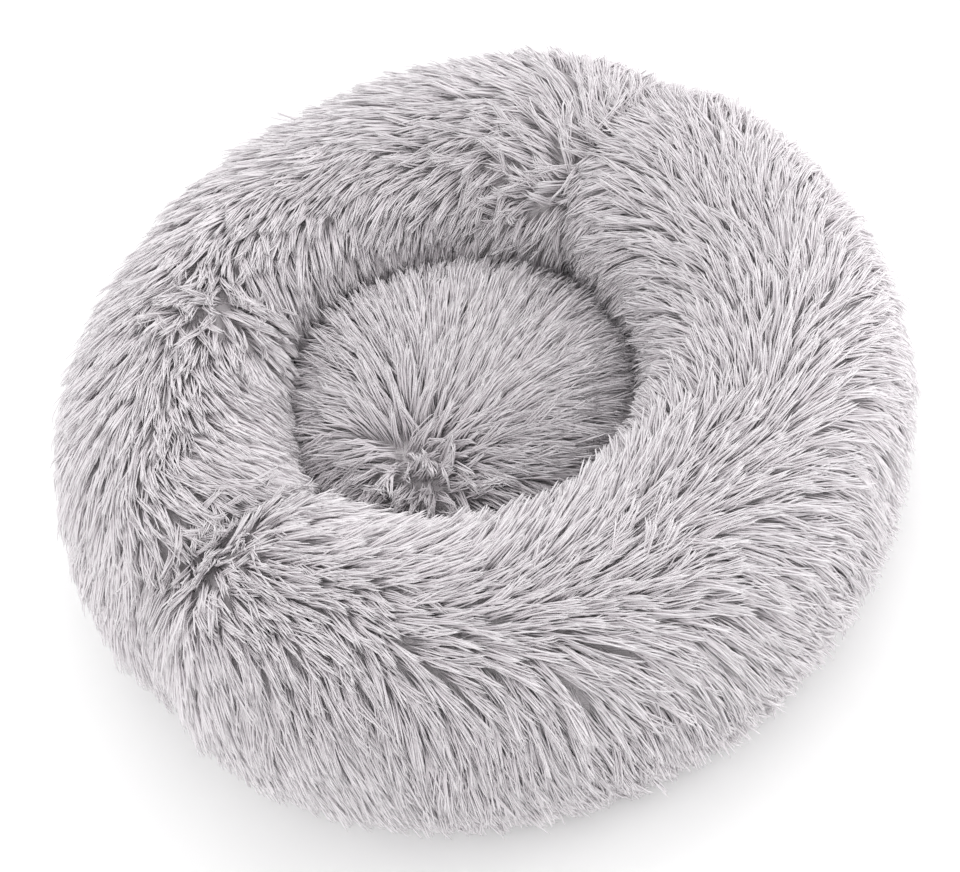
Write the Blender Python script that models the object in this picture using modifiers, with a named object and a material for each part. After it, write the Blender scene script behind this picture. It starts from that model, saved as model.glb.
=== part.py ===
"""Round plush pet bed: a stuffed ring sewn round a crowned centre cushion, closed below by a base cloth.

Metres, +Z up. The origin is the centre of the base cloth's underside, which rests on the floor.
The ring's cover is two lengths of plush that meet at two seams across the ring.
"""

import math

import bmesh
import bpy
import numpy as np
from mathutils import Vector

# Driving dimensions
OUTER_DIAMETER = 0.572
OVERALL_HEIGHT = 0.188
SEAT_OPENING = 0.240  # across the hole, where the ring's inner wall stands furthest in
RING_WAIST_HEIGHT = 0.088  # where the ring is widest
RING_SEAM_DROP = 0.85  # how far down its lower half the ring's section is cut off by the base
CUSHION_CREST_HEIGHT = 0.132
CUSHION_WAIST_HEIGHT = 0.085
CUSHION_SEAM_DROP = 0.5
PLUSH_THICKNESS = 0.008  # backing cloth and the dense roots of the pile
BASE_THICKNESS = 0.002
BASE_MARGIN = 0.002  # base cloth beyond the ring's outer seam
BACKING_THICKNESS = 0.001
TAPE_WIDTH = 0.010
TAPE_THICKNESS = 0.001
FIRST_SEAM_ANGLE = math.radians(42)
SECOND_SEAM_ANGLE = math.radians(207)

# Clearances
TOUCH_GAP = 0.0003  # between pieces that lie on each other
FILL_CLEARANCE = 0.0008  # between a cover and the fibre in it
CUSHION_CLEARANCE = 0.0008  # between the cushion and the ring's inner wall
EDGE_CLEARANCE = 0.002  # between a cover's turned-in edge and the tape or fibre beside it

# How the surfaces are drawn
RING_ROUNDNESS = 2.4  # exponents of the sections: 2 is an ellipse, more is squarer
CUSHION_ROUNDNESS = 3.0
TURN_STEPS = 60
RING_POINTS = 17
CUSHION_POINTS = 12
CUTTER_REACH = 4 * OUTER_DIAMETER

# Worked out from the values above
ring_radius = (OUTER_DIAMETER + SEAT_OPENING) / 4
tube_half_width = (OUTER_DIAMETER - SEAT_OPENING) / 4
base_top = BASE_THICKNESS
tape_bottom = base_top + TOUCH_GAP
tape_top = tape_bottom + TAPE_THICKNESS
backing_bottom = base_top + TOUCH_GAP
backing_top = backing_bottom + BACKING_THICKNESS


def share_across(share_up, roundness):
    """Half-width of a section, as a share of its widest, at a share of its height from the waist."""
    return (1 - np.abs(share_up) ** roundness) ** (1 / roundness)


class Section:
    """A superellipse that is cut off at its seam: half of a cushion's section, or the whole of the ring's."""

    def __init__(self, centre, half_width, crest, waist, seam, drop, roundness):
        self.centre, self.half_width, self.waist, self.seam = centre, half_width, waist, seam
        self.roundness = roundness
        self.above = crest - waist
        self.below = (waist - seam) / drop
        self.seam_reach = half_width * share_across(drop, roundness)
        self.seam_turn = math.asin(drop ** (roundness / 2))

    def half_width_at(self, height):
        rise = np.asarray(height) - self.waist
        share_up = rise / np.where(rise > 0, self.above, self.below)
        return self.half_width * share_across(share_up, self.roundness)

    def points(self, first_turn, last_turn, count, inset=0.0):
        """Points (radius, height) at evenly stepped turns from the outer waist, moved in along the normal."""
        turn = np.linspace(first_turn, last_turn, count)
        power = 2 / self.roundness
        across = np.sign(np.cos(turn)) * np.abs(np.cos(turn)) ** power
        up = np.sign(np.sin(turn)) * np.abs(np.sin(turn)) ** power
        half_height = np.where(up > 0, self.above, self.below)
        normal = np.stack(
            [
                np.sign(across) * np.abs(across) ** (self.roundness - 1) / self.half_width,
                np.sign(up) * np.abs(up) ** (self.roundness - 1) / half_height,
            ],
            axis=1,
        )
        normal /= np.linalg.norm(normal, axis=1, keepdims=True)
        outline = np.stack(
            [self.centre + self.half_width * across, self.waist + half_height * up], axis=1
        )
        return outline - inset * normal


ring_section = Section(
    ring_radius,
    tube_half_width,
    OVERALL_HEIGHT,
    RING_WAIST_HEIGHT,
    base_top + TOUCH_GAP,
    RING_SEAM_DROP,
    RING_ROUNDNESS,
)

# How far the tapes and the foot of the ring's fibre reach from its centreline
tape_reach = ring_section.seam_reach - PLUSH_THICKNESS - EDGE_CLEARANCE


def section_of_cushion(half_width):
    return Section(
        0.0,
        half_width,
        CUSHION_CREST_HEIGHT,
        CUSHION_WAIST_HEIGHT,
        backing_top + TOUCH_GAP,
        CUSHION_SEAM_DROP,
        CUSHION_ROUNDNESS,
    )


def cushion_half_width():
    """The widest cushion whose section clears the ring's inner wall at every height below its crest."""
    unit = section_of_cushion(1.0)
    heights = np.linspace(unit.seam, CUSHION_CREST_HEIGHT, 200)[:-1]
    wall_radius = ring_radius - ring_section.half_width_at(heights) - CUSHION_CLEARANCE
    return float(np.min(wall_radius / unit.half_width_at(heights)))


cushion_section = section_of_cushion(cushion_half_width())


def clear_scene():
    for obj in list(bpy.data.objects):
        bpy.data.objects.remove(obj, do_unlink=True)


def new_collection(name, hidden=False):
    collection = bpy.data.collections.new(name)
    bpy.context.scene.collection.children.link(collection)
    collection.hide_render = hidden
    return collection


def new_material(name, color, roughness, metallic=0.0):
    material = bpy.data.materials.new(name)
    material.use_nodes = True
    shader = material.node_tree.nodes["Principled BSDF"]
    shader.inputs["Base Color"].default_value = (*color, 1.0)
    shader.inputs["Roughness"].default_value = roughness
    shader.inputs["Metallic"].default_value = metallic
    return material


def profile_object(name, outline, closed, collection, material):
    """An outline in the XZ plane, as edges."""
    count = len(outline)
    last = count if closed else count - 1
    mesh = bpy.data.meshes.new(name)
    mesh.from_pydata(
        [(radius, 0.0, height) for radius, height in outline],
        [(i, (i + 1) % count) for i in range(last)],
        [],
    )
    mesh.materials.append(material)
    obj = bpy.data.objects.new(name, mesh)
    collection.objects.link(obj)
    return obj


def turn(obj):
    """Turns a profile once round Z. It runs down its outer side, so the faces point out."""
    screw = obj.modifiers.new("turn", "SCREW")
    screw.axis = "Z"
    screw.angle = 2 * math.pi
    screw.steps = TURN_STEPS
    screw.render_steps = TURN_STEPS
    screw.use_merge_vertices = True
    screw.merge_threshold = 1e-5
    screw.use_smooth_shade = True
    return obj


def thicken_inwards(obj, thickness):
    solidify = obj.modifiers.new("thickness", "SOLIDIFY")
    solidify.thickness = thickness
    solidify.offset = -1
    solidify.use_even_offset = True


def seam_wedge(name, grow, collection):
    """A prism between the two seams, its sides moved outwards by grow."""
    middle = (FIRST_SEAM_ANGLE + SECOND_SEAM_ANGLE) / 2
    half_span = (SECOND_SEAM_ANGLE - FIRST_SEAM_ANGLE) / 2
    apex = -Vector((math.cos(middle), math.sin(middle), 0)) * grow / math.sin(half_span)
    corners = [apex]
    for angle in (FIRST_SEAM_ANGLE, middle, SECOND_SEAM_ANGLE):
        corners.append(apex + CUTTER_REACH * Vector((math.cos(angle), math.sin(angle), 0)))
    build = bmesh.new()
    bottom = build.faces.new([build.verts.new(c - Vector((0, 0, OVERALL_HEIGHT))) for c in corners])
    sides = bmesh.ops.extrude_face_region(build, geom=[bottom])
    top = [v for v in sides["geom"] if isinstance(v, bmesh.types.BMVert)]
    bmesh.ops.translate(build, verts=top, vec=(0, 0, 3 * OVERALL_HEIGHT))
    bmesh.ops.recalc_face_normals(build, faces=build.faces)
    mesh = bpy.data.meshes.new(name)
    build.to_mesh(mesh)
    build.free()
    obj = bpy.data.objects.new(name, mesh)
    obj.hide_render = True
    obj.display_type = "WIRE"
    collection.objects.link(obj)
    return obj


def make_bolster_panel(name, operation, wedge, collection, material):
    """One length of the ring's cover: an open tube of plush, ending in a cut at each seam."""
    ends = ring_section.seam_turn
    outline = ring_section.points(math.pi + ends, -ends, RING_POINTS)
    panel = turn(profile_object(name, outline, False, collection, material))
    panel.rotation_euler.z = FIRST_SEAM_ANGLE + math.pi / TURN_STEPS
    thicken_inwards(panel, PLUSH_THICKNESS)
    cut = panel.modifiers.new("seams", "BOOLEAN")
    cut.operation = operation
    cut.object = wedge
    return panel


def fill_outline(section, first_turn, count, two_seams=False):
    """The inside of a cover, drawn further in at each seam, where the cover's cut edge turns in."""
    inset = np.full((count, 1), PLUSH_THICKNESS + FILL_CLEARANCE)
    inset[-1] += EDGE_CLEARANCE
    if two_seams:
        inset[0] += EDGE_CLEARANCE
    return section.points(first_turn, -section.seam_turn, count, inset)


def make_bolster_fill(collection, material):
    """The fibre in the ring: the inside of its cover, flat where it lies on the seam tapes."""
    ends = ring_section.seam_turn
    outline = fill_outline(ring_section, math.pi + ends, RING_POINTS, two_seams=True)
    floor = tape_top + TOUCH_GAP
    foot = [(ring_radius + tape_reach, floor), (ring_radius - tape_reach, floor)]
    fill = turn(profile_object("bolster_fill", [*outline, *foot], True, collection, material))
    fill.rotation_euler.z = FIRST_SEAM_ANGLE + math.pi / TURN_STEPS
    return fill


def make_cushion_top_panel(collection, material):
    outline = cushion_section.points(math.pi / 2, -cushion_section.seam_turn, CUSHION_POINTS)
    outline[0][0] = 0.0
    panel = turn(profile_object("cushion_top_panel", outline, False, collection, material))
    thicken_inwards(panel, PLUSH_THICKNESS)
    return panel


def make_cushion_fill(collection, material):
    """The fibre in the cushion, flat on its backing."""
    outline = fill_outline(cushion_section, math.pi / 2, CUSHION_POINTS)
    outline[0][0] = 0.0
    floor = backing_top + TOUCH_GAP
    foot_radius = cushion_section.seam_reach - PLUSH_THICKNESS - EDGE_CLEARANCE
    foot = [(foot_radius, floor), (0.0, floor)]
    return turn(profile_object("cushion_fill", [*outline, *foot], False, collection, material))


def make_disc(name, radius, bottom, thickness, collection, material):
    build = bmesh.new()
    bmesh.ops.create_cone(
        build,
        cap_ends=True,
        segments=TURN_STEPS,
        radius1=radius,
        radius2=radius,
        depth=thickness,
    )
    mesh = bpy.data.meshes.new(name)
    build.to_mesh(mesh)
    build.free()
    mesh.materials.append(material)
    disc = bpy.data.objects.new(name, mesh)
    disc.location.z = bottom + thickness / 2
    collection.objects.link(disc)
    return disc


def make_seam_tape(name, inner_radius, collection, material):
    """A flat tape that lies on the base cloth inside the ring, beside one of its seams."""
    outer_radius = inner_radius + TAPE_WIDTH
    outline = [
        (inner_radius, tape_top),
        (outer_radius, tape_top),
        (outer_radius, tape_bottom),
        (inner_radius, tape_bottom),
    ]
    return turn(profile_object(name, outline, True, collection, material))


clear_scene()
bed = new_collection("pet_cushion_bed")
cutters = new_collection("cutters", hidden=True)

plush = new_material("plush", (0.49, 0.46, 0.48), 0.95)
fibre = new_material("polyester_fibre", (0.85, 0.85, 0.83), 1.0)
woven = new_material("base_weave", (0.16, 0.16, 0.17), 0.8)
nonwoven = new_material("nonwoven_backing", (0.7, 0.7, 0.68), 0.9)
tape = new_material("seam_tape", (0.5, 0.48, 0.49), 0.85)

half_gap = TOUCH_GAP / 2
make_bolster_panel(
    "bolster_panel_left",
    "INTERSECT",
    seam_wedge("seam_wedge_left", -half_gap, cutters),
    bed,
    plush,
)
make_bolster_panel(
    "bolster_panel_right",
    "DIFFERENCE",
    seam_wedge("seam_wedge_right", half_gap, cutters),
    bed,
    plush,
)
make_bolster_fill(bed, fibre)
make_cushion_top_panel(bed, plush)
make_cushion_fill(bed, fibre)
make_disc(
    "cushion_backing",
    cushion_section.seam_reach + BASE_MARGIN,
    backing_bottom,
    BACKING_THICKNESS,
    bed,
    nonwoven,
)
make_disc(
    "base_cloth",
    ring_radius + ring_section.seam_reach + BASE_MARGIN,
    0.0,
    BASE_THICKNESS,
    bed,
    woven,
)
make_seam_tape("outer_seam_tape", ring_radius + tape_reach - TAPE_WIDTH, bed, tape)
make_seam_tape("inner_seam_tape", ring_radius - tape_reach, bed, tape)
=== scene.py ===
import math

import bpy
import numpy as np
from mathutils import Matrix, Vector


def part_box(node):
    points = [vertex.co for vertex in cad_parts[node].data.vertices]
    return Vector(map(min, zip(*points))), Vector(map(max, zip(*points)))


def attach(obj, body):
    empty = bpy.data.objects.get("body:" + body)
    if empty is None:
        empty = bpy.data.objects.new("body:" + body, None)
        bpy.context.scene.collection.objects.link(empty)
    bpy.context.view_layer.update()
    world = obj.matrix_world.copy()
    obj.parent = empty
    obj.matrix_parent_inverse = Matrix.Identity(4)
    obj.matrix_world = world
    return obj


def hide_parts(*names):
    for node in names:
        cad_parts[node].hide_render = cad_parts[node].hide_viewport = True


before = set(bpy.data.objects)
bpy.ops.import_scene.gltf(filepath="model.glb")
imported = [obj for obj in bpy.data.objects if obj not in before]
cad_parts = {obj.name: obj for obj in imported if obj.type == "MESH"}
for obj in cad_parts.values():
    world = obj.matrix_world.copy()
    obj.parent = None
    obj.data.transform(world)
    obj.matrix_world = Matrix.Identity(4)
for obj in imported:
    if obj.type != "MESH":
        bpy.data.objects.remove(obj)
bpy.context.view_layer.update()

mm = 0.001
fullTurn = 2 * math.pi
goldenTurn = math.pi * (3 - math.sqrt(5))


def smoothStep(value, low, high):
    # 0 below low, 1 above high, 3t^2 - 2t^3 between
    share = np.clip((np.asarray(value, float) - low) / (high - low), 0, 1)
    return share * share * (3 - 2 * share)


def bump(value, centre, width):
    # exp(-((value - centre) / width)^2), with angles taken the short way round
    away = np.mod(np.asarray(value) - centre + math.pi, fullTurn) - math.pi
    return np.exp(-((away / width) ** 2))


def waves(kinds, u, v):
    # the sum of height * sin(a u + b v + phase), each wave given as (a, b, phase, height)
    return sum(height * np.sin(a * u + b * v + phase) for a, b, phase, height in kinds)


def gridFaces(rows, columns, wrapRows=False):
    # quads between neighbouring rows and columns, the last row joined to the first if it wraps
    row = np.arange(rows if wrapRows else rows - 1)[:, None]
    column = np.arange(columns - 1)[None]
    after = (row + 1) % rows
    corners = [row * columns + column, after * columns + column]
    corners += [after * columns + column + 1, row * columns + column + 1]
    return np.stack(np.broadcast_arrays(*corners), axis=-1).reshape(-1, 4)


def makePiece(name, points, quads, triangles=(), finish=None, uv=None):
    # one mesh object at the origin, from whole arrays of points and faces
    quads = np.asarray(quads, np.int32).reshape(-1, 4)
    triangles = np.asarray(triangles, np.int32).reshape(-1, 3)
    corners = np.concatenate([quads.ravel(), triangles.ravel()])
    sizes = np.concatenate([np.full(len(quads), 4), np.full(len(triangles), 3)])
    mesh = bpy.data.meshes.new(name)
    mesh.vertices.add(len(points))
    mesh.vertices.foreach_set("co", np.asarray(points, np.float32).ravel())
    mesh.loops.add(len(corners))
    mesh.loops.foreach_set("vertex_index", corners.astype(np.int32))
    mesh.polygons.add(len(sizes))
    starts = np.cumsum(sizes) - sizes
    mesh.polygons.foreach_set("loop_start", starts.astype(np.int32))
    mesh.update(calc_edges=True)
    mesh.shade_smooth()
    if uv is not None:
        layer = mesh.uv_layers.new(name="OFBake", do_init=False)
        layer.uv.foreach_set("vector", np.asarray(uv, np.float32)[corners].ravel())
    if finish:
        mesh.materials.append(finish)
    piece = bpy.data.objects.new(name, mesh)
    bpy.context.scene.collection.objects.link(piece)
    return piece


def sampleGrid(values, row, column):
    # the mix of the four grid points round each place; rows wrap, and the edge columns' slope goes on
    # past them
    rows, columns = values.shape[:2]
    low = np.floor(row).astype(int)
    left = np.clip(np.floor(column).astype(int), 0, columns - 2)
    up, over = (row - low)[..., None], (column - left)[..., None]
    low, high = low % rows, (low + 1) % rows
    near = values[low, left] * (1 - over) + values[low, left + 1] * over
    far = values[high, left] * (1 - over) + values[high, left + 1] * over
    return near * (1 - up) + far * up


def unit(vectors):
    # each vector divided by its own length
    return vectors / np.maximum(np.linalg.norm(vectors, axis=-1, keepdims=True), 1e-12)


def gridSlopes(points):
    # the steps from row to row and from column to column, by central differences; rows wrap
    alongRows = (np.roll(points, -1, axis=0) - np.roll(points, 1, axis=0)) / 2
    return alongRows, np.gradient(points, axis=1)


def gridNormals(points):
    # the cross product of the two steps, at length 1
    rowStep, columnStep = gridSlopes(points)
    return unit(np.cross(rowStep, columnStep))


def nodePoints(node):
    # the points of one of the frame's nodes, as rows of x, y and z
    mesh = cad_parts[node].data
    flat = np.empty(3 * len(mesh.vertices), np.float32)
    mesh.vertices.foreach_get("co", flat)
    return flat.reshape(-1, 3).astype(float)


leftPanel, rightPanel = nodePoints("bolster_panel_left"), nodePoints("bolster_panel_right")
ringPoints = np.concatenate([leftPanel, rightPanel])
ringReach = np.hypot(ringPoints[:, 0], ringPoints[:, 1])
leftTurns = np.mod(np.arctan2(leftPanel[:, 1], leftPanel[:, 0]), fullTurn)
cushionPoints = nodePoints("cushion_top_panel")
cushionReach = np.hypot(cushionPoints[:, 0], cushionPoints[:, 1])
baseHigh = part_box("base_cloth")[1]

ring = {
    "outer": ringReach.max(),
    "hole": ringReach.min(),
    "crest": ringPoints[:, 2].max(),
    "waist": ringPoints[ringReach.argmax(), 2],
    "foot": ringPoints[:, 2].min(),
    "firstSeam": leftTurns.min(),
    "secondSeam": leftTurns.max(),
    "rootDepth": 1.5 * mm,    # how far inside the frame's ring the cloth under the pile lies
    "crestDepth": 6.5 * mm,   # the same at its crest
    "roundness": 2.4,         # 2 is an ellipse, more is squarer
    "footDrop": 0.85,         # share of the lower half that is left above the base
    "rows": 240,
    "columns": 61,
    "lumps": [
        (3, 2.5, 0.4, 1.6 * mm),
        (7, -3.0, 1.9, 1.1 * mm),
        (12, 4.0, 5.1, 0.7 * mm),
    ],
    "bulges": [
        {"around": 176, "wide": 24, "out": 8 * mm},   # its left, its far right and its front, in degrees
        {"around": 47, "wide": 30, "out": 12 * mm},
        {"around": 274, "wide": 42, "out": -9 * mm},
    ],
}
rowTurn = fullTurn / ring["rows"]
cushion = {
    "reach": cushionReach.max(),
    "crest": cushionPoints[:, 2].max(),
    "waist": cushionPoints[cushionReach.argmax(), 2],
    "foot": cushionPoints[:, 2].min(),
    "rootDepth": 3 * mm,
    "tilt": 9 * mm,           # how much higher the far left of its rim is than its middle
    "tiltTurn": math.radians(122),
    "stretch": 0.085,         # how much further it reaches into the hollow's wider side
    "roundness": 3.0,
    "footDrop": 0.5,
    "rows": 96,
    "columns": 33,
    "lumps": [
        (38, 21, 1.0, 2 * mm),
        (-24, 45, 4.0, 2 * mm),
    ],
}
print("frame read: ring", round(2 * ring["outer"], 4), "m across, cushion crest", round(cushion["crest"], 4))


class Sock:
    # a shader socket that takes part in sums: each operator adds its Math node
    def __init__(self, finish, socket):
        self.finish, self.socket = finish, socket

    def math(self, operation, first, second=None):
        values = {0: first} if second is None else {0: first, 1: second}
        return self.finish.node("ShaderNodeMath", values, operation=operation)

    def __add__(self, other):
        return self.math("ADD", self, other)

    def __radd__(self, other):
        return self.math("ADD", other, self)

    def __mul__(self, other):
        return self.math("MULTIPLY", self, other)

    def __rmul__(self, other):
        return self.math("MULTIPLY", other, self)

    def sin(self):
        return self.math("SINE", self)

    def abs(self):
        return self.math("ABSOLUTE", self)


class Finish:
    # one procedural material; node() adds any node, and shader() sets the Principled node's sockets
    def __init__(self, name, **constants):
        self.material = bpy.data.materials.new(name)
        self.material.use_nodes = True
        self.tree = self.material.node_tree
        self.principled = self.tree.nodes["Principled BSDF"]
        self.shader(**constants)

    def set(self, node, values):
        for key, value in values.items():
            socket = node.inputs[key]
            if isinstance(value, Sock):
                self.tree.links.new(value.socket, socket)
            elif isinstance(value, (tuple, list)) and socket.type == "RGBA":
                socket.default_value = (*value[:3], 1)
            else:
                socket.default_value = value

    def node(self, kind, values=None, output=0, **settings):
        node = self.tree.nodes.new(kind)
        for key, value in settings.items():
            if key == "stops":
                ramp = node.color_ramp
                for index, (place, color) in enumerate(value):
                    stop = ramp.elements[index] if index < 2 else ramp.elements.new(place)
                    stop.position = place
                    stop.color = (*color, 1)
            else:
                setattr(node, key, value)
        self.set(node, values or {})
        return Sock(self, node.outputs[output])

    def parts(self, vector):
        split = self.node("ShaderNodeSeparateXYZ", {0: vector}).socket.node
        return [Sock(self, output) for output in split.outputs]

    def place(self):
        return self.node("ShaderNodeTexCoord", output="Object")

    def noise(self, place, scale, detail):
        return self.node("ShaderNodeTexNoise", {"Vector": place, "Scale": scale, "Detail": detail})

    def mix(self, share, first, second):
        return self.node("ShaderNodeMix", {0: share, 6: first, 7: second}, output=2, data_type="RGBA")

    def relief(self, height, depth):
        # depth in metres; the Bump node's own distance is a constant
        return self.node("ShaderNodeBump", {"Height": height, "Distance": depth, "Strength": 1.0})

    def shader(self, **values):
        self.set(self.principled, {key.replace("_", " "): value for key, value in values.items()})
        return self.material


# painted shade and light: each strand's colour is darker at its root, standing for the shade between the
# roots, and lighter at its tip, standing for light through the thin tips
pileColors = {
    "root": (0.86, 0.82, 0.845),
    "middle": (0.89, 0.85, 0.875),
    "tip": (0.92, 0.89, 0.91),
    "places": {"root": 0.08, "middle": 0.55, "tip": 0.95},   # shares of a strand's length
    "shade": 0.95,            # a dark strand's brightness beside a light one's
}


def pileFinish():
    # on each strand's own map u is its tone and v runs from root to tip; along v the colour is darker at the
    # root as painted shade between the roots and lighter at the tip as painted light through the thin tips
    finish = Finish("pile", Roughness=0.75, Specular_IOR_Level=0.12, Sheen_Weight=0.1, Sheen_Roughness=0.5)
    tone, along, _ = finish.parts(finish.node("ShaderNodeUVMap", uv_map="OFBake"))
    stops = [(place, pileColors[part]) for part, place in pileColors["places"].items()]
    paintedRootShadeTipLight = finish.node("ShaderNodeValToRGB", {0: along}, stops=stops)
    light = tone * (1 - pileColors["shade"]) + pileColors["shade"]
    color = finish.node("ShaderNodeVectorMath", {0: paintedRootShadeTipLight, 3: light}, operation="SCALE")
    return finish.shader(Base_Color=color)


clothLook = {
    "contrast": 0.25,         # how much the threads show, and the blotches of tone
    "dark": 0.6,              # the darkest and lightest tones, as shares of the cloth's colour
    "light": 1.25,
    "blotch": 0.15,           # blotches for each thread
    "detail": 3.0,
}
feltLook = {
    "dark": 0.72,
    "light": 1.15,
    "coarse": 0.6,            # the coarse tangle's share; the fine one has the rest
    "finer": 7,
    "coarseDetail": 4.0,
    "fineDetail": 2.0,
}


def toned(color, share):
    # each part of the colour times share, at most 1
    return tuple(min(1.0, share * part) for part in color)


def clothFinish(name, color, pitch, depth):
    # plain weave: threads at right angles, |sin x| and |sin y| at half each, with slow blotches of tone
    finish = Finish(name, Roughness=0.85, Specular_IOR_Level=0.3)
    x, y, _ = finish.parts(finish.place())
    turns = fullTurn / pitch
    warp = (x * turns).sin()
    weft = (y * turns).sin()
    threads = (warp.abs() + weft.abs()) * 0.5
    slub = finish.noise(finish.place(), clothLook["blotch"] / pitch, clothLook["detail"])
    share = threads * clothLook["contrast"] + slub * clothLook["contrast"]
    shade = finish.mix(share, toned(color, clothLook["dark"]), toned(color, clothLook["light"]))
    return finish.shader(Base_Color=shade, Normal=finish.relief(threads, depth))


def feltFinish(name, color, scale, depth):
    # matted fibres: two sizes of noise
    finish = Finish(name, Roughness=0.95, Specular_IOR_Level=0.2)
    place = finish.place()
    coarse = finish.noise(place, scale, feltLook["coarseDetail"])
    fine = finish.noise(place, feltLook["finer"] * scale, feltLook["fineDetail"])
    tangle = coarse * feltLook["coarse"] + fine * (1 - feltLook["coarse"])
    shade = finish.mix(tangle, toned(color, feltLook["dark"]), toned(color, feltLook["light"]))
    return finish.shader(Base_Color=shade, Normal=finish.relief(tangle, depth))


pile = pileFinish()
backing = clothFinish("plush_backing", (0.80, 0.76, 0.78), 1.6 * mm, 0.4 * mm)
fibre = feltFinish("fibre", (0.86, 0.86, 0.84), 90, 1.5 * mm)
weave = clothFinish("base_weave", (0.20, 0.20, 0.21), 1.2 * mm, 0.3 * mm)
nonwoven = feltFinish("nonwoven", (0.70, 0.70, 0.68), 400, 0.2 * mm)
tapeWeave = clothFinish("tape_weave", (0.50, 0.48, 0.49), 0.9 * mm, 0.2 * mm)
thread = clothFinish("thread", (0.62, 0.60, 0.61), 0.5 * mm, 0.08 * mm)
rubber = Finish("dot_rubber", Base_Color=(0.06, 0.06, 0.065), Roughness=0.45).material
print("materials made")


folds = {
    "seamWidth": math.radians(7),
    "firstDrop": 14 * mm,     # how far the crest sinks where the two lengths meet
    "firstPinch": 12 * mm,
    "firstOuter": 0.8,        # how little of the first pinch reaches the outer side
    "secondDrop": 14 * mm,
    "secondPinch": 9 * mm,
    "innerFold": math.radians(141),
    "innerWidth": math.radians(6),
    "innerPinch": 7 * mm,
    "recessTurn": math.radians(128),   # the hollow is wider on its far left
    "recessWidth": math.radians(26),
    "recess": 12 * mm,
    "fullerWide": 5 * mm,     # the right length is fuller past the second seam
    "fullerTall": 2 * mm,
    "fullerStart": (0, 0.15),
    "fullerEnd": (0.5, 2.2),
    "slimmerWide": 4 * mm,    # the left length is slimmer before that seam, and half as much at its far end
    "slimmerTall": 3 * mm,
    "slimmerTurn": 0.35,
    "farTurn": 2.2,
    "farWidth": 0.5,
}


def ringCloth(depth):
    # a superellipse carried round the ring: reach = middle + halfWidth * sgn(cos)|cos|^(2/n),
    # height = waist + halfHeight * sgn(sin)|sin|^(2/n), with the folds, the lumps and the
    # fuller right length added to halfWidth and halfHeight
    power = 2 / ring["roundness"]
    ends = math.asin(ring["footDrop"] ** (ring["roundness"] / 2))
    around = np.linspace(0, fullTurn, ring["rows"], endpoint=False)[:, None]
    turn = np.linspace(-ends, math.pi + ends, ring["columns"])[None]
    across = np.sign(np.cos(turn)) * np.abs(np.cos(turn)) ** power
    up = np.sign(np.sin(turn)) * np.abs(np.sin(turn)) ** power
    middle = (ring["outer"] + ring["hole"]) / 2
    halfWidth = (ring["outer"] - ring["hole"]) / 2 - depth
    above = ring["crest"] - ring["waist"] - depth + ring["rootDepth"] - ring["crestDepth"]
    below = (ring["waist"] - ring["foot"]) / ring["footDrop"]

    # shares of the section: its crest, its two sides, and all of it but the sewn foot
    crestShare = smoothStep(up, 0.1, 1.0)
    outerShare = smoothStep(across, 0.0, 0.9)
    innerShare = smoothStep(-across, 0.0, 0.9)
    footHold = smoothStep(up, -0.85, -0.2)

    first = bump(around, ring["firstSeam"], folds["seamWidth"])
    second = bump(around, ring["secondSeam"], folds["seamWidth"])
    drop = first * folds["firstDrop"] + second * folds["secondDrop"]
    pinch = first * folds["firstPinch"] * (1 - folds["firstOuter"] * outerShare)
    pinch = pinch + second * folds["secondPinch"]
    bulge = 0
    for place in ring["bulges"]:
        beside = bump(around, math.radians(place["around"]), math.radians(place["wide"]))
        bulge = bulge + place["out"] * beside
    pastSecond = np.mod(around - ring["secondSeam"], fullTurn)
    fuller = smoothStep(pastSecond, *folds["fullerStart"])
    fuller = fuller * (1 - smoothStep(pastSecond, *folds["fullerEnd"]))
    slimmer = bump(around, ring["secondSeam"] - folds["slimmerTurn"], folds["slimmerTurn"])
    slimmer = slimmer + 0.5 * bump(around, folds["farTurn"], folds["farWidth"])
    lumps = waves(ring["lumps"], around, turn)

    swell = fuller * folds["fullerWide"] - slimmer * folds["slimmerWide"] - pinch
    inward = bump(around, folds["innerFold"], folds["innerWidth"]) * folds["innerPinch"]
    inward = inward + bump(around, folds["recessTurn"], folds["recessWidth"]) * folds["recess"]
    push = (swell + lumps - inward * innerShare) * footHold
    reach = middle + (halfWidth + push) * across + bulge * outerShare * footHold
    rise = (fuller * folds["fullerTall"] - drop - slimmer * folds["slimmerTall"] + lumps) * crestShare
    height = ring["waist"] + np.where(up > 0, above * up, below * up) + rise
    points = np.stack([reach * np.cos(around), reach * np.sin(around), height], axis=-1)
    return points, turn[0]


def cushionStretch(angle):
    # 1 + stretch * bump: the cushion reaches further into the hollow's wider side
    return 1 + cushion["stretch"] * bump(angle, folds["recessTurn"], folds["recessWidth"])


def cushionCloth(depth):
    # half a superellipse turned round Z: reach = halfWidth * |cos|^(2/n), height as the ring's,
    # columns from the crown to the foot
    power = 2 / cushion["roundness"]
    ends = math.asin(cushion["footDrop"] ** (cushion["roundness"] / 2))
    around = np.linspace(0, fullTurn, cushion["rows"], endpoint=False)[:, None]
    turn = np.linspace(math.pi / 2, -ends, cushion["columns"])[None]
    across = np.abs(np.cos(turn)) ** power
    across[0, 0] = 0
    up = np.sign(np.sin(turn)) * np.abs(np.sin(turn)) ** power
    above = cushion["crest"] - cushion["waist"] - depth
    below = (cushion["waist"] - cushion["foot"]) / cushion["footDrop"]
    reach = (cushion["reach"] - depth) * across * cushionStretch(around)
    x, y = reach * np.cos(around), reach * np.sin(around)
    lumps = waves(cushion["lumps"], x, y) * smoothStep(up, 0, 0.8)
    uphill = (x * math.cos(cushion["tiltTurn"]) + y * math.sin(cushion["tiltTurn"])) / cushion["reach"]
    lumps = lumps + cushion["tilt"] * uphill * smoothStep(up, -0.2, 0.6)
    height = cushion["waist"] + np.where(up > 0, above * up, below * up) + lumps
    return np.stack([x, y, height], axis=-1)


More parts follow.
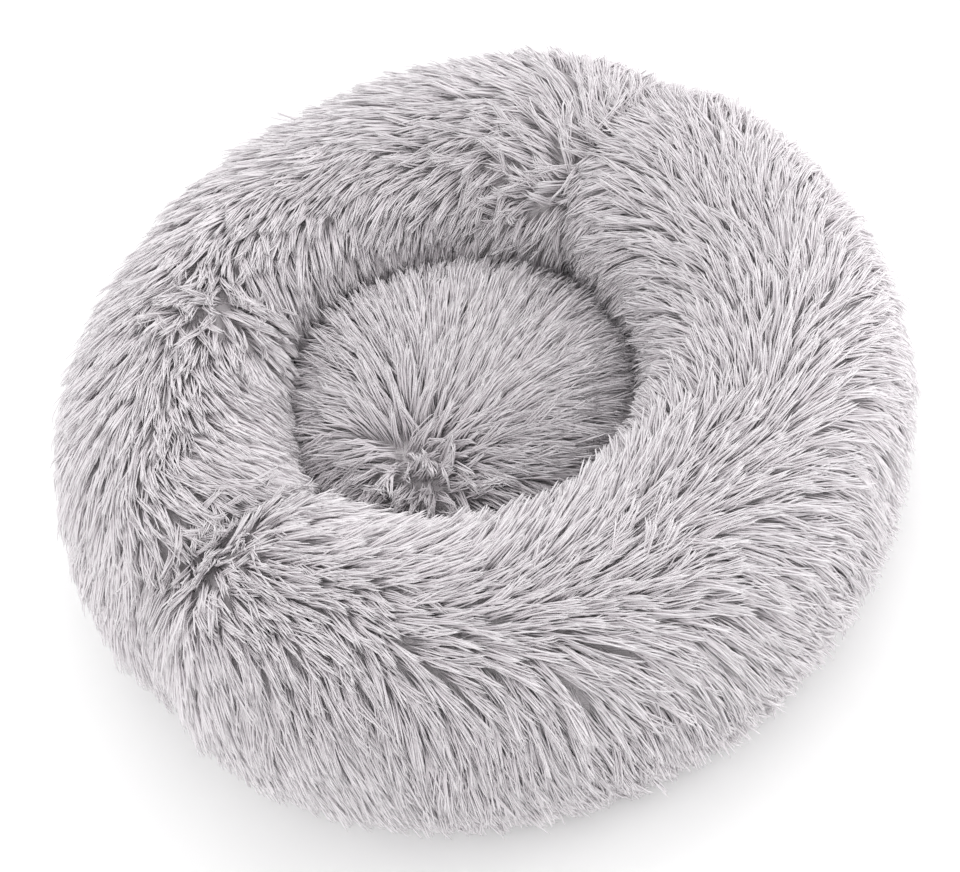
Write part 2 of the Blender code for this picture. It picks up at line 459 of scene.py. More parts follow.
layers = {
    "cloth": 1.6 * mm,        # thickness of the plush's backing
    "seamGap": 0.3 * mm,      # between the ring's two lengths, and under the cushion's fibre
    "fibreGap": 0.8 * mm,     # between a cloth and the fibre in it
    "fibreFloor": 1.8 * mm,   # between the base cloth and the ring's fibre
}
stuffing = {
    "pressure": 300.0,
    "mass": 0.3,
    "quality": 4,
    "frames": 20,
    "ringMove": 5 * mm,       # the furthest that a point of the ring's cloth may go
    "cushionMove": 4 * mm,
    "slack": 3 * mm,          # how much smaller the cloth is cut than its stuffed size
    "sewnColumns": 3,         # how many columns beside the base are sewn down
    "seamHalf": 0.03,
}


def stuffed(points, quads, triangles, held, furthest):
    # Blender's Cloth with pressure from inside and no gravity; held is the pinned share of each point,
    # and its way is shortened to furthest
    piece = makePiece("being_stuffed", points, quads, triangles)
    group = piece.vertex_groups.new(name="sewn")
    for share in np.unique(held):
        group.add(np.flatnonzero(held == share).tolist(), float(share), "REPLACE")
    cloth = piece.modifiers.new("stuffing", "CLOTH")
    cloth.settings.quality = stuffing["quality"]
    cloth.settings.mass = stuffing["mass"]
    cloth.settings.use_pressure = True
    cloth.settings.uniform_pressure_force = stuffing["pressure"]
    cloth.settings.vertex_group_mass = "sewn"
    cloth.settings.effector_weights.gravity = 0
    cloth.collision_settings.use_collision = False
    cloth.point_cache.frame_start = 1
    cloth.point_cache.frame_end = stuffing["frames"]
    scene = bpy.context.scene
    for number in range(1, stuffing["frames"] + 1):
        scene.frame_set(number)
    seen = piece.evaluated_get(bpy.context.evaluated_depsgraph_get()).data
    flat = np.empty(3 * len(seen.vertices), np.float32)
    seen.vertices.foreach_get("co", flat)
    scene.frame_set(1)
    bpy.data.objects.remove(piece)
    way = flat.reshape(-1, 3) - points
    far = np.linalg.norm(way, axis=1, keepdims=True)
    mean, most = float(far.mean()) / mm, float(far.max()) / mm
    print("stuffed: points moved", round(mean, 1), "mm, at most", round(most, 1))
    return points + way * np.minimum(1, furthest / np.maximum(far, 1e-9))


def footFaces(rows, columns):
    # quads that close a tube's grid below, from each row's last column to its first
    start = np.arange(rows)[:, None] * columns
    after = (np.arange(rows)[:, None] + 1) % rows * columns
    return np.concatenate([start + columns - 1, after + columns - 1, after, start], axis=1)


def stuffRing(grid):
    # the tube closed below; its lowest columns and the two seams are sewn
    rows, columns = grid.shape[:2]
    quads = np.concatenate([gridFaces(rows, columns, wrapRows=True), footFaces(rows, columns)])
    around = np.arange(rows)[:, None] * rowTurn
    column = np.arange(columns)[None]
    sewn = (column < stuffing["sewnColumns"]) | (column >= columns - stuffing["sewnColumns"])
    half = stuffing["seamHalf"]
    seam = bump(around, ring["firstSeam"], half) + bump(around, ring["secondSeam"], half) > 0.5
    held = (sewn | seam).astype(float)
    return stuffed(grid.reshape(-1, 3), quads, (), held.ravel(), stuffing["ringMove"]).reshape(grid.shape)


def capFaces(rows, columns):
    # a turned grid of rows round and columns outward, closed by one point at each end
    quads = gridFaces(rows, columns, wrapRows=True)[:, ::-1]
    start, after = np.arange(rows) * columns, (np.arange(rows) + 1) % rows * columns
    top = np.stack([np.full(rows, rows * columns), start, after], axis=1)
    last = columns - 1
    bottom = np.stack([after + last, start + last, np.full(rows, rows * columns + 1)], axis=1)
    return quads, np.concatenate([top, bottom])


def stuffCushion(grid):
    # the crown and a flat foot closed to a point each; the last columns are sewn
    rows, columns = grid.shape[0], grid.shape[1] - 1
    foot = grid[:, -1].mean(axis=0)
    points = np.concatenate([grid[:, 1:].reshape(-1, 3), [grid[0, 0], foot]])
    sewn = np.arange(columns) > columns - stuffing["sewnColumns"]
    held = np.concatenate([np.tile(sewn, rows), [False, True]]).astype(float)
    points = stuffed(points, *capFaces(rows, columns), held, stuffing["cushionMove"])
    grid = grid.copy()
    grid[:, 1:] = points[:-2].reshape(rows, columns, 3)
    grid[:, 0] = points[-2]
    return grid


cut = stuffing["slack"]
ringRoots, ringTurn = ringCloth(ring["rootDepth"] + cut)
cushionRoots = cushionCloth(cushion["rootDepth"] + cut)
ringRoots = stuffRing(ringRoots)
cushionRoots = stuffCushion(cushionRoots)

ringNormals = gridNormals(ringRoots)
ringSteps = [np.linalg.norm(step, axis=-1)[..., None] for step in gridSlopes(ringRoots)]
print("cloth shapes made")


def panelShell(name, firstTurn, lastTurn, finish):
    # the ring's cloth between two seams: its outer face, its inner face one cloth's thickness inside it,
    # and four rims
    rows = int((lastTurn - firstTurn) / rowTurn)
    gap = layers["seamGap"] / ring["outer"]
    turns = np.linspace(firstTurn + gap, lastTurn - gap, rows)
    row, column = np.meshgrid(turns / rowTurn, np.arange(ring["columns"], dtype=float), indexing="ij")
    outside = sampleGrid(ringRoots, row, column)
    inside = outside - layers["cloth"] * unit(sampleGrid(ringNormals, row, column))
    inside[..., 2] = np.maximum(inside[..., 2], outside[..., 2].min())
    loop = np.concatenate([outside, inside[:, ::-1]], axis=1)
    count = loop.shape[1]
    quads = gridFaces(rows, count)
    start = np.arange(rows - 1)[:, None] * count
    closing = start + np.array([[count - 1, 2 * count - 1, count, 0]])
    half = np.arange(ring["columns"])
    caps = []
    for end, order in ((0, 1), ((rows - 1) * count, -1)):
        outer = end + half
        inner = end + count - 1 - half
        strip = np.stack([outer[:-1], outer[1:], inner[1:], inner[:-1]], axis=1)
        caps.append(strip[:, ::order])
    return makePiece(name, loop.reshape(-1, 3), np.concatenate([quads, closing, *caps]), finish=finish)


strand = {
    "steps": 14,
    "levelSteps": np.array([0, 6, 12, 14]),   # the steps at which a strand has its rings and its tip
    "taper": (0.85, 1.0, 0.8),
    "gatherPower": 0.8,
    "waviness": 0.8 * mm,         # how far a strand sways to its sides
    "sway": (0, 1, -0.6, -0.9),
    "rootSink": 1.0 * mm,
    "floorGap": 1.2 * mm,
    "mapHalfWidth": 0.0012,       # strands need some width on their map
    "headingStray": 0.045,
    "rootStray": 0.08,
    "tipStray": 0.06,
    "toneStray": 0.16,
    "shorter": 0.25,              # how much shorter than its lock a strand may be
    "droopPower": 1.7,
    "slimmest": 0.75,
    "thickest": 1.2,
}
strandLevels = strand["levelSteps"] / strand["steps"]
ringPile = {
    "clumps": 12400,
    "pieces": {"left": 4, "right": 5},
    "length": 42 * mm,
    "radius": 0.68 * mm,
    "strandsPerClump": 8,
    "clumpReach": 4.2 * mm,
    "gather": 0.78,               # how far a lock's strands have drawn together at the tip
    "rootLift": math.radians(34),
    "tipLift": math.radians(9),
    "downOut": math.radians(76),  # how far the comb turns down at the outer side, and at the inner side
    "downIn": math.radians(66),
    "fan": math.radians(50),      # how far it opens out beside the first seam
    "fanWidth": math.radians(16),
    "flow": [
        (5, 2, 0, 0.2),
        (11, -3, 1, 0.14),
        (19, 4, 2, 0.1),
    ],
    "headingStray": 0.11,
    "tuftStray": 0.9,
    "curl": 0.22,
    "tuftCurl": 1.5,
    "flatTurn": math.radians(178),   # the locks lie flatter on the left
    "flatWidth": math.radians(28),
    "shortTurn": math.radians(145),  # and are short inside, most of all over the cushion's high rim
    "shorter": {"tuft": 0.3, "inside": 0.25, "rim": 0.35, "low": 0.2},
    "slimmer": 0.25,
    "rootRise": {"tuft": 0.4, "low": -0.2, "flat": -0.15},
    "tipRise": {"tuft": 0.55, "low": -0.1, "flat": -0.06},
    # painted shade: strands in the short curled tufts by the seams are darker, for the shade in those pockets
    "tuftPaintedShade": 0.2,
}
cushionPile = {
    "clumps": 1350,
    "length": 44 * mm,
    "radius": 0.66 * mm,
    "strandsPerClump": 9,
    "clumpReach": 4.8 * mm,
    "gather": 0.88,
    "rootLift": math.radians(48),
    "tipLift": math.radians(12),
    "headingStray": 0.12,
    "tuftStray": 0.9,
    "curl": 0.22,
    "tuftCurl": 1.5,
    "edgeGap": 1 * mm,
    "standTurn": math.radians(145),  # the pile stands up along this side of the rim
    "shorter": 0.5,
    "standLonger": 0.3,
    "standWider": 0.25,
    "slimmer": 0.2,
    "rootRise": {"tuft": 0.3, "stand": 0.55},
    "tipRise": {"tuft": 0.7, "stand": 0.85},
    # painted shade: strands where the pile curls by the whorl are darker, for the shade deep in the hollow
    "tuftPaintedShade": 0.3,
}
clumpStray = {
    "shortest": 0.85,
    "longest": 1.08,
    "narrowest": 0.8,
    "widest": 1.15,
    "lift": 0.08,
    "middleTone": 0.58,
    "tone": 0.16,
}


def strandMesh(name, lines, normals, tones, radius, finish):
    # each strand is a three-sided spike: rings at three levels and a tip, closed at its root;
    # ring point = line point + radius * (cos a * side + sin a * up)
    count = len(lines)
    heading = unit(np.gradient(lines, axis=1))
    side = unit(np.cross(normals, heading))
    up = np.cross(heading, side)
    angles = math.pi / 2 + np.arange(3) * fullTurn / 3
    wide = radius[:, None, None, None] * np.array(strand["taper"])[None, :, None, None]
    cosine, sine = np.cos(angles)[None, None, :, None], np.sin(angles)[None, None, :, None]
    rings = lines[:, :3, None] + wide * (cosine * side[:, :3, None] + sine * up[:, :3, None])
    points = np.concatenate([rings.reshape(count, 9, 3), lines[:, 3:]], axis=1)
    points[..., 2] = np.maximum(points[..., 2], strand["floorGap"])
    band = [(0, 1, 4, 3), (1, 2, 5, 4), (2, 0, 3, 5)]
    quads = np.array(band + [tuple(3 + i for i in face) for face in band])
    triangles = np.array([(6, 7, 9), (7, 8, 9), (8, 6, 9), (2, 1, 0)])
    first = 10 * np.arange(count)[:, None, None]
    tone = 0.01 + 0.98 * np.repeat(tones[:, None], 10, axis=1)
    tone += np.array([-1, 0, 1] * 3 + [0]) * strand["mapHalfWidth"]
    levels = np.repeat(strandLevels, [3, 3, 3, 1])
    uv = np.stack([tone, np.broadcast_to(levels, tone.shape)], axis=-1)
    return makePiece(
        name,
        points.reshape(-1, 3),
        (quads[None] + first).reshape(-1, 4),
        (triangles[None] + first).reshape(-1, 3),
        finish,
        uv.reshape(-1, 2),
    )


def combedLines(place, stretch, clump, shape, rng):
    # a strand's line on the surface: root + offset * (1 - gather * t^gatherPower) + the comb's heading
    # times the sum of cos(lift); its height above the surface is the sum of sin(lift)
    perClump = shape["strandsPerClump"]
    count = len(clump["u"])
    size = (count, perClump)

    def each(key):
        return np.broadcast_to(clump[key][:, None], size)

    order = np.arange(perClump)[None] + rng.uniform(0, 1, size)
    spoke = order * goldenTurn + rng.uniform(0, fullTurn, (count, 1))
    out = clump["reach"][:, None] * np.sqrt(order / perClump)
    heading = each("heading") + rng.normal(0, strand["headingStray"], size)
    length = each("length") * (1 - strand["shorter"] * rng.uniform(0, 1, size) ** 2)
    lift = each("rootLift") + rng.normal(0, strand["rootStray"], size)
    tipLift = each("tipLift") + rng.normal(0, strand["tipStray"], size)
    t = (np.arange(strand["steps"]) + 0.5) / strand["steps"]
    lifts = lift[..., None] + (tipLift - lift)[..., None] * (1 - (1 - t) ** strand["droopPower"])
    course = heading[..., None] + each("curl")[..., None] * t
    step = (length / strand["steps"])[..., None]
    ahead = np.cumsum(step * np.cos(lifts) * np.cos(course), axis=-1)
    aside = np.cumsum(step * np.cos(lifts) * np.sin(course), axis=-1)
    rise = np.cumsum(step * np.sin(lifts), axis=-1)
    blank = np.zeros(size + (1,))
    ahead, aside, rise = (
        np.concatenate([blank, way], axis=-1)[..., strand["levelSteps"]] for way in (ahead, aside, rise)
    )
    rise = rise - strand["rootSink"]
    spread = out[..., None] * (1 - shape["gather"] * strandLevels ** strand["gatherPower"])
    ahead = ahead + spread * np.cos(spoke)[..., None]
    aside = aside + spread * np.sin(spoke)[..., None]
    aside = aside + strand["waviness"] * rng.normal(0, 1, size)[..., None] * np.array(strand["sway"])
    u, v = np.repeat(clump["u"], perClump), np.repeat(clump["v"], perClump)
    ahead, aside, rise = (way.reshape(-1, 4) for way in (ahead, aside, rise))
    uStep, vStep = stretch(u, v)
    points, normals = place(u[:, None] + ahead / uStep[:, None], v[:, None] + aside / vStep[:, None])
    lines = points + rise[..., None] * normals
    tones = np.clip(each("tone") + rng.normal(0, strand["toneStray"], size), 0, 1).reshape(-1)
    radius = shape["radius"] * rng.uniform(strand["slimmest"], strand["thickest"], count * perClump)
    return lines, normals, tones, radius * each("slim").reshape(-1)


def ringPlace(around, column):
    # the point and the normal of the ring's cloth at an angle round it and a column over it
    row = around / rowTurn
    return sampleGrid(ringRoots, row, column), unit(sampleGrid(ringNormals, row, column))


def ringStretch(around, column):
    # metres for one radian round the ring, and for one column across it
    row = around / rowTurn
    return (
        sampleGrid(ringSteps[0], row, column)[:, 0] / rowTurn,
        sampleGrid(ringSteps[1], row, column)[:, 0],
    )


# places where the pile stands up short and curled: around the ring, and over it from 0 at its outer side
# through 90 at its crest to 180 at its inner side, in degrees
tufts = [
    {"around": 203, "turn": 92, "wide": 8, "tall": 36, "strength": 0.75},
    {"around": 143, "turn": 125, "wide": 7, "tall": 42, "strength": 0.75},
    {"around": 58, "turn": 128, "wide": 11, "tall": 28, "strength": 0.7},
    {"around": 42, "turn": 120, "wide": 5, "tall": 40, "strength": 0.3},
]


def tuftShare(around, turn):
    # the sum of strength * bump round the ring * bump over it, at most 1
    share = np.zeros(len(around))
    for tuft in tufts:
        beside = bump(around, math.radians(tuft["around"]), math.radians(tuft["wide"]))
        over = np.exp(-(((turn - math.radians(tuft["turn"])) / math.radians(tuft["tall"])) ** 2))
        share = share + tuft["strength"] * beside * over
    return np.clip(share, 0, 1)


def ringClumps(count, rng):
    # places on a plastic-number lattice, spaced by the area of each column, so that none lie in lines;
    # combed along the ring at its crest, and more and more down its sides
    plastic = 1.32471795724475
    index = np.arange(count) + 0.5
    around = np.mod(index / plastic, 1) * fullTurn
    area = (ringSteps[0] * ringSteps[1])[..., 0].mean(axis=0)
    filled = np.concatenate([[0], np.cumsum((area[1:] + area[:-1]) / 2)])
    share = np.mod(index / plastic**2, 1) * filled[-1]
    column = np.interp(share, filled, np.arange(len(filled)))
    turn = np.interp(column, np.arange(ring["columns"]), ringTurn)
    outward, up = np.cos(turn), np.sin(turn)

    downOut = smoothStep(outward, -0.15, 1.0) * ringPile["downOut"]
    downIn = smoothStep(-outward, -0.15, 1.0) * ringPile["downIn"]
    messy = tuftShare(around, turn)
    pastFirst = np.mod(around - ring["firstSeam"], fullTurn)
    fan = ringPile["fan"] * np.exp(-((pastFirst / ringPile["fanWidth"]) ** 2)) * smoothStep(up, 0.3, 0.9)
    heading = downIn - downOut - fan + waves(ringPile["flow"], around, turn) * smoothStep(up, -0.6, 0.6)
    heading = heading + rng.normal(0, ringPile["headingStray"], count)
    heading = heading + rng.normal(0, ringPile["tuftStray"], count) * messy

    low = smoothStep(-up, 0.3, 0.95)
    flatter = bump(around, ringPile["flatTurn"], ringPile["flatWidth"]) * smoothStep(up, 0.0, 0.7)
    inside = smoothStep(-outward, 0.55, 1.0)
    overRim = smoothStep(np.cos(around - ringPile["shortTurn"]), 0.0, 0.6)
    length = ringPile["length"] * rng.uniform(clumpStray["shortest"], clumpStray["longest"], count)
    shorter = ringPile["shorter"]
    length = length * (1 - shorter["tuft"] * messy) * (1 - shorter["low"] * low)
    length = length * (1 - inside * (shorter["inside"] + shorter["rim"] * overRim))
    rootLift, tipLift = (
        ringPile[lift] + rises["tuft"] * messy + rises["low"] * low + rises["flat"] * flatter
        for lift, rises in (("rootLift", ringPile["rootRise"]), ("tipLift", ringPile["tipRise"]))
    )
    curl = rng.normal(0, ringPile["curl"], count) + ringPile["tuftCurl"] * rng.normal(0, 1, count) * messy
    return {
        "u": around,
        "v": column,
        "heading": heading,
        "curl": curl,
        "slim": 1 - ringPile["slimmer"] * messy,
        "length": length,
        "rootLift": rootLift + rng.normal(0, clumpStray["lift"], count),
        "tipLift": tipLift + rng.normal(0, clumpStray["lift"], count),
        "reach": ringPile["clumpReach"] * rng.uniform(clumpStray["narrowest"], clumpStray["widest"], count),
        "tone": clumpTone(ringPile["tuftPaintedShade"] * messy, count, rng),
    }


def clumpTone(paintedShade, count, rng):
    # the middle tone less the painted shade given for tufts and curls, with its stray, from 0 to 1
    return np.clip(clumpStray["middleTone"] + rng.normal(0, clumpStray["tone"], count) - paintedShade, 0, 1)


def pickClumps(clumps, keep):
    # the locks for which keep is true
    return {key: value[keep] for key, value in clumps.items()}


whorl = {
    "x": -0.055,              # where the cushion's pile parts
    "y": -0.038,
    "turn": 0.22,             # how much it also turns about that place
    "curlX": -0.058,          # and where it is short and curled
    "curlY": -0.062,
    "curlReach": 0.030,
}
cushionTurns = np.arange(cushion["rows"])[:, None] * fullTurn / cushion["rows"]


def cushionHeight(x, y):
    # the cushion's cloth read as a height over x and y: its row by the angle, its column by the reach
    angle = np.arctan2(y, x)
    reaches = np.hypot(cushionRoots[..., 0], cushionRoots[..., 1]) / cushionStretch(cushionTurns)
    reaches = reaches.mean(axis=0)
    widest = int(reaches.argmax())
    column = np.interp(np.hypot(x, y) / cushionStretch(angle), reaches[: widest + 1], np.arange(widest + 1))
    return sampleGrid(cushionRoots[..., 2:], angle / fullTurn * cushion["rows"], column)[..., 0]


def cushionPlace(x, y):
    # the point above (x, y) and its normal (-dz/dx, -dz/dy, 1), by differences over 2 mm
    small = 1 * mm
    slopeX = (cushionHeight(x + small, y) - cushionHeight(x - small, y)) / (2 * small)
    slopeY = (cushionHeight(x, y + small) - cushionHeight(x, y - small)) / (2 * small)
    points = np.stack([x, y, cushionHeight(x, y)], axis=-1)
    return points, unit(np.stack([-slopeX, -slopeY, np.ones_like(x)], axis=-1))


def flatStretch(x, y):
    # the cushion's places are in metres already
    return np.ones_like(x), np.ones_like(y)


def cushionClumps(count, rng):
    # a sunflower spiral over the cushion, combed away from the whorl with a small turn; the pile
    # stands up where it curls, and along the rim on the far left
    index = np.arange(count) + 0.5
    reach = (cushion["reach"] - cushion["rootDepth"] - cushionPile["edgeGap"]) * np.sqrt(index / count)
    angle = index * goldenTurn
    x, y = reach * np.cos(angle) * cushionStretch(angle), reach * np.sin(angle) * cushionStretch(angle)
    awayX, awayY = x - whorl["x"], y - whorl["y"]
    heading = np.arctan2(awayY + whorl["turn"] * awayX, awayX - whorl["turn"] * awayY)
    curlX, curlY = x - whorl["curlX"], y - whorl["curlY"]
    messy = np.exp(-(curlX**2 + curlY**2) / whorl["curlReach"] ** 2)
    heading = heading + rng.normal(0, cushionPile["headingStray"], count)
    heading = heading + rng.normal(0, cushionPile["tuftStray"], count) * messy
    rim = smoothStep(reach / cushion["reach"], 0.58, 0.92)
    standing = rim * smoothStep(np.cos(angle - cushionPile["standTurn"]), -0.1, 0.6)
    curl = rng.normal(0, cushionPile["curl"], count) + rng.normal(0, cushionPile["tuftCurl"], count) * messy
    length = cushionPile["length"] * (1 - cushionPile["shorter"] * messy)
    length = length * (1 + cushionPile["standLonger"] * standing)
    rootLift, tipLift = (
        cushionPile[lift] + rises["tuft"] * messy + rises["stand"] * standing
        for lift, rises in (("rootLift", cushionPile["rootRise"]), ("tipLift", cushionPile["tipRise"]))
    )
    wide = cushionPile["clumpReach"] * (1 + cushionPile["standWider"] * standing)
    return {
        "u": x,
        "v": y,
        "heading": heading,
        "curl": curl,
        "slim": 1 - cushionPile["slimmer"] * messy,
        "length": length * rng.uniform(clumpStray["shortest"], clumpStray["longest"], count),
        "rootLift": rootLift + rng.normal(0, clumpStray["lift"], count),
        "tipLift": tipLift + rng.normal(0, clumpStray["lift"], count),
        "reach": wide * rng.uniform(clumpStray["narrowest"], clumpStray["widest"], count),
        "tone": clumpTone(cushionPile["tuftPaintedShade"] * messy, count, rng),
    }


def standsFor(piece, node):
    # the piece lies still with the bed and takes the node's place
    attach(piece, "root")
    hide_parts(node)


rng = np.random.default_rng(7)
clumps = ringClumps(ringPile["clumps"], rng)
past = np.mod(clumps["u"] - ring["firstSeam"], fullTurn)
leftSpan = ring["secondSeam"] - ring["firstSeam"]
edges = [
    ("left", np.linspace(0, leftSpan, ringPile["pieces"]["left"] + 1)),
    ("right", np.linspace(leftSpan, fullTurn, ringPile["pieces"]["right"] + 1)),
]
for label, limits in edges:
    for number, (low, high) in enumerate(zip(limits[:-1], limits[1:]), 1):
        chosen = pickClumps(clumps, (past >= low) & (past < high))
        lines = combedLines(ringPlace, ringStretch, chosen, ringPile, rng)
        piece = strandMesh(f"ring_pile_{label}_{number}", *lines, pile)
        standsFor(piece, f"bolster_panel_{label}")
        print(piece.name, len(lines[0]), "strands")

cushionLocks = cushionClumps(cushionPile["clumps"], rng)
lines = combedLines(cushionPlace, flatStretch, cushionLocks, cushionPile, rng)
cushionFur = strandMesh("cushion_pile", *lines, pile)
standsFor(cushionFur, "cushion_top_panel")
print("cushion_pile", len(lines[0]), "strands")

for label, low, high in (
    ("left", ring["firstSeam"], ring["secondSeam"]),
    ("right", ring["secondSeam"], ring["firstSeam"] + fullTurn),
):
    panel = panelShell(f"ring_cloth_{label}", low, high, backing)
    standsFor(panel, f"bolster_panel_{label}")


def ringFibre(finish):
    # the inside of the ring's cloth, closed below by a flat strip between the two seams
    skin = ringRoots - (layers["cloth"] + layers["fibreGap"]) * ringNormals
    skin[..., 2] = np.maximum(skin[..., 2], baseHigh[2] + layers["fibreFloor"])
    rows, columns = skin.shape[:2]
    quads = np.concatenate([gridFaces(rows, columns, wrapRows=True), footFaces(rows, columns)])
    return makePiece("ring_fibre", skin.reshape(-1, 3), quads, finish=finish)


def cushionCap(name, skin, finish, foot=None):
    # a turned grid with its pole closed to one point; foot gives a second grid that runs back under it
    rows = skin.shape[0]
    loop = skin[:, 1:] if foot is None else np.concatenate([skin[:, 1:], foot[:, :0:-1]], axis=1)
    poles = [skin[0, 0], foot[0, 0] if foot is not None else loop[:, -1].mean(axis=0)]
    points = np.concatenate([loop.reshape(-1, 3), poles])
    return makePiece(name, points, *capFaces(rows, loop.shape[1]), finish=finish)


ringStuffing = ringFibre(fibre)
standsFor(ringStuffing, "bolster_fill")

cushionNormals = -gridNormals(cushionRoots)
cushionNormals[:, 0] = (0, 0, 1)
cushionFloor = cushionRoots[..., 2].min()
cushionInside = cushionRoots - layers["cloth"] * cushionNormals
cushionInside[..., 2] = np.maximum(cushionInside[..., 2], cushionFloor)
cover = cushionCap("cushion_cloth", cushionRoots, backing, cushionInside)
standsFor(cover, "cushion_top_panel")

cushionSkin = cushionInside - layers["fibreGap"] * cushionNormals
cushionSkin[..., 2] = np.maximum(cushionSkin[..., 2], cushionFloor + layers["seamGap"])
cushionStuffing = cushionCap("cushion_fibre", cushionSkin, fibre)
standsFor(cushionStuffing, "cushion_fill")
print("covers and fibre made")


base = {
    "reach": baseHigh[0],
    "low": 0.8 * mm,          # its dots hold it off the floor
    "high": baseHigh[2] - 0.2 * mm,
    "hem": 9 * mm,            # width of the folded edge
    "hemDrop": 0.45 * mm,
    "hemStep": 0.8 * mm,
    "edge": 0.7 * mm,         # where the rim rounds off, and by how much its top drops
    "edgeDrop": 0.3 * mm,
    "pucker": 0.12 * mm,
    "puckers": 46,
    "rows": 192,
    "columns": 40,
}
grip = {
    "pitch": 17 * mm,
    "radius": 1.9 * mm,
    "sides": 8,
    "reaches": np.array([0, 1.0, 1.0, 0.8, 0.4, 0]),   # from its sunk top down to its tip
    "heights": np.array([base["low"] / mm + 0.3, base["low"] / mm + 0.3, 0.5, 0.15, 0.02, 0]) * mm,
}
stitching = {
    "inset": 6.5 * mm,
    "pitch": 4.4 * mm,
    "length": 3.0 * mm,
    "radius": 0.32 * mm,
    "sunk": 0.05 * mm,
    "sides": 6,
    "reaches": np.array([0, 0.6, 1.0, 1.0, 0.6, 0]),
    "along": np.array([1, 0.85, 0.5, -0.5, -0.85, -1]),
}


def baseSheet(finish):
    # upper side, then the lower side back in; the hem stands below the rest, and its edge puckers
    rows, columns = base["rows"], base["columns"]
    around = np.linspace(0, fullTurn, rows, endpoint=False)[:, None]
    share = np.linspace(0, 1, columns)[None] ** 0.7
    reach = share * base["reach"] * np.ones_like(around)
    hemStart = base["reach"] - base["hem"]
    folded = smoothStep(reach, hemStart, hemStart + base["hemStep"])
    outer = smoothStep(reach, 0.8 * base["reach"], base["reach"])
    wave = base["pucker"] * np.sin(base["puckers"] * around) * outer
    edge = smoothStep(reach, base["reach"] - base["edge"], base["reach"])
    upper = base["high"] - np.abs(wave) - base["edgeDrop"] * edge
    lower = base["low"] - base["hemDrop"] * folded * (1 - 0.6 * edge) + wave
    top = np.stack([reach * np.cos(around), reach * np.sin(around), upper], axis=-1)
    under = np.stack([reach * np.cos(around), reach * np.sin(around), lower], axis=-1)
    return cushionCap("base_sheet", top, finish, under)


def scattered(name, places, turns, shapePoints, shapeQuads, shapeTriangles, finish):
    # one small shape set down at each place, turned about Z: x cos - y sin, x sin + y cos
    cosine, sine = np.cos(turns)[:, None], np.sin(turns)[:, None]
    x, y, z = shapePoints[None, :, 0], shapePoints[None, :, 1], shapePoints[None, :, 2]
    turned = np.stack([x * cosine - y * sine, x * sine + y * cosine, z + 0 * cosine], axis=-1)
    points = turned + places[:, None]
    first = len(shapePoints) * np.arange(len(places))[:, None, None]
    quads = (np.asarray(shapeQuads)[None] + first).reshape(-1, 4)
    triangles = (np.asarray(shapeTriangles)[None] + first).reshape(-1, 3)
    return makePiece(name, points.reshape(-1, 3), quads, triangles, finish=finish)


def turnedShape(reaches, heights, sides, axis=2):
    # a profile of rings turned round an axis and closed by a point at each end, first end up
    around = np.linspace(0, fullTurn, sides, endpoint=False)[:, None]
    reach, height = reaches[None, 1:-1], heights[None, 1:-1]
    grid = np.stack([reach * np.cos(around), reach * np.sin(around), height + 0 * around], axis=-1)
    points = np.concatenate([grid.reshape(-1, 3), [[0, 0, heights[0]], [0, 0, heights[-1]]]])
    if axis == 0:
        points = points[:, [2, 0, 1]]
    return (points, *capFaces(sides, len(reaches) - 2))


sheet = baseSheet(weave)
standsFor(sheet, "base_cloth")

# dots in a triangular pattern, inside the hem
dotLimit = int(base["reach"] / grip["pitch"]) + 3
dotColumn, dotRow = np.meshgrid(np.arange(-dotLimit, dotLimit + 1), np.arange(-dotLimit, dotLimit + 1))
dotX = (dotColumn * grip["pitch"] + 0.5 * grip["pitch"] * (dotRow % 2)).ravel()
dotY = (dotRow * grip["pitch"] * math.sqrt(0.75)).ravel()
inside = np.hypot(dotX, dotY) < base["reach"] - base["hem"] - 2 * grip["radius"]
dotX, dotY = dotX[inside], dotY[inside]
dome = turnedShape(grip["reaches"] * grip["radius"], grip["heights"], grip["sides"])
dots = scattered("grip_dots", np.stack([dotX, dotY, 0 * dotX], axis=-1), 0 * dotX, *dome, rubber)
standsFor(dots, "base_cloth")

# one row of stitches round the hem
stitchReach = base["reach"] - stitching["inset"]
stitchCount = int(fullTurn * stitchReach / stitching["pitch"])
stitchTurns = np.arange(stitchCount) * fullTurn / stitchCount
stitchHeight = np.full(stitchCount, base["low"] - base["hemDrop"] + stitching["sunk"])
stitchPlaces = np.stack(
    [stitchReach * np.cos(stitchTurns), stitchReach * np.sin(stitchTurns), stitchHeight], axis=-1
)
stitch = turnedShape(
    stitching["reaches"] * stitching["radius"],
    stitching["along"] * stitching["length"] / 2,
    stitching["sides"],
    axis=0,
)
stitches = scattered("hem_stitches", stitchPlaces, stitchTurns + math.pi / 2, *stitch, thread)
standsFor(stitches, "base_cloth")
print("base cloth with", len(dotX), "dots and", stitchCount, "stitches")

# the nodes that keep their own shape
for node, finish in (
    ("cushion_backing", nonwoven),
    ("outer_seam_tape", tapeWeave),
    ("inner_seam_tape", tapeWeave),
):
    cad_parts[node].data.materials.clear()
    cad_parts[node].data.materials.append(finish)


room = {"floorHalf": 4, "floorColor": (0.9, 0.9, 0.9), "floorGlow": 0.12, "world": 1.02}
view = {
    "elevation": 53,
    "roll": 19,
    "distance": 1.6,
    "lens": 86.8,
    "aim": (0, 0, 0.1),
    "slide": (3.5 * mm, -20 * mm),
}

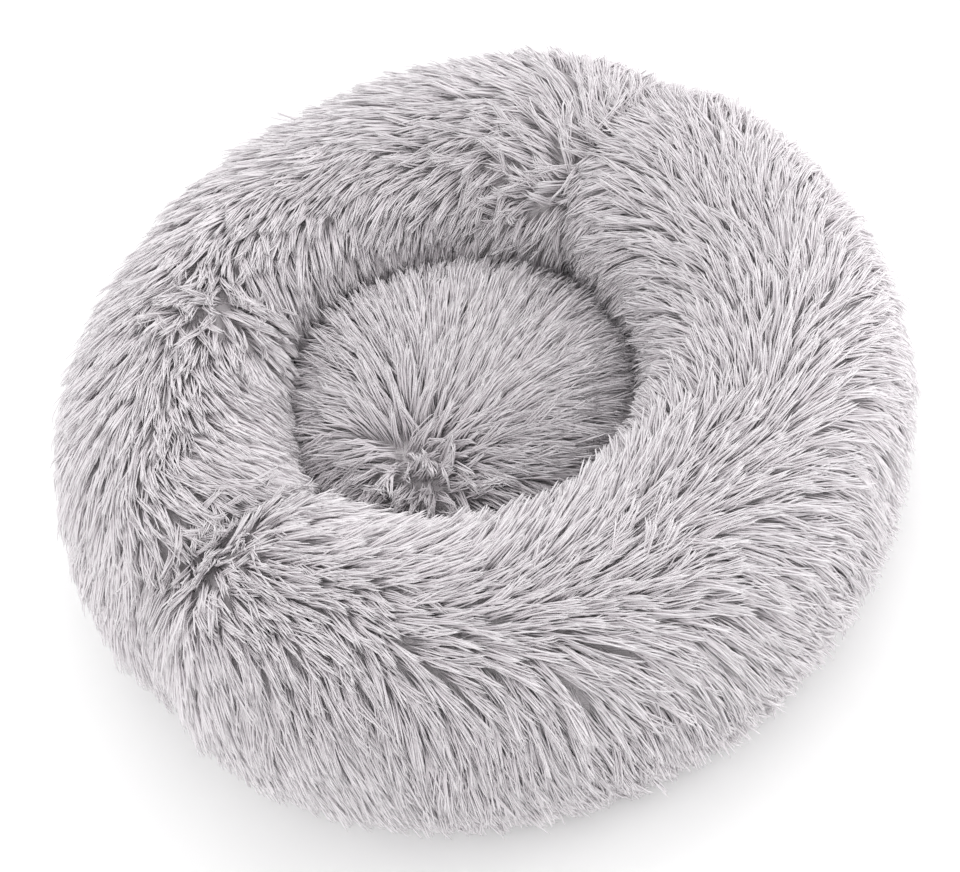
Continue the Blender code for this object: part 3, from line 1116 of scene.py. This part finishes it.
half = room["floorHalf"]
floorPoints = [(-half, -half, 0), (half, -half, 0), (half, half, 0), (-half, half, 0)]
floor = makePiece("floor", floorPoints, [(0, 1, 2, 3)])
floorWhite = Finish("floor_white", Base_Color=room["floorColor"], Roughness=0.8)
floor.data.materials.append(
    floorWhite.shader(Emission_Color=(1, 1, 1), Emission_Strength=room["floorGlow"])
)

world = bpy.context.scene.world or bpy.data.worlds.new("world")
bpy.context.scene.world = world
world.use_nodes = True
world.node_tree.nodes["Background"].inputs["Color"].default_value = (1, 1, 1, 1)
world.node_tree.nodes["Background"].inputs["Strength"].default_value = room["world"]


def softLight(name, azimuth, elevation, distance, size, power):
    # an area light on a sphere round the bed, facing its middle
    a, e = math.radians(azimuth), math.radians(elevation)
    back = Vector((math.cos(a) * math.cos(e), math.sin(a) * math.cos(e), math.sin(e)))
    data = bpy.data.lights.new(name, "AREA")
    data.shape = "DISK"
    data.size = size
    data.energy = power
    light = bpy.data.objects.new(name, data)
    light.location = distance * back + Vector(view["aim"])
    light.rotation_euler = back.to_track_quat("Z", "Y").to_euler()
    bpy.context.scene.collection.objects.link(light)


softLight("key_light", azimuth=65, elevation=52, distance=2.2, size=2.6, power=13)
softLight("left_light", azimuth=185, elevation=16, distance=2.2, size=1.5, power=6)
softLight("right_light", azimuth=350, elevation=16, distance=2.2, size=1.5, power=16)


def makeCamera():
    # the camera stands on the -Y side, turned about its own axis by roll, slid in its own plane by slide
    e, roll = math.radians(view["elevation"]), math.radians(view["roll"])
    right, up = Vector((1, 0, 0)), Vector((0, math.sin(e), math.cos(e)))
    forward = Vector((0, math.cos(e), -math.sin(e)))
    across = right * math.cos(roll) - up * math.sin(roll)
    upward = right * math.sin(roll) + up * math.cos(roll)
    place = Vector(view["aim"]) - view["distance"] * forward
    place += across * view["slide"][0] + upward * view["slide"][1]
    data = bpy.data.cameras.new("camera")
    data.lens = view["lens"]
    camera = bpy.data.objects.new("camera", data)
    camera.matrix_world = Matrix.Translation(place) @ Matrix((across, upward, -forward)).transposed().to_4x4()
    bpy.context.scene.collection.objects.link(camera)
    bpy.context.scene.camera = camera


makeCamera()
bpy.context.scene.view_settings.view_transform = "Standard"
print("floor, lights and camera made")
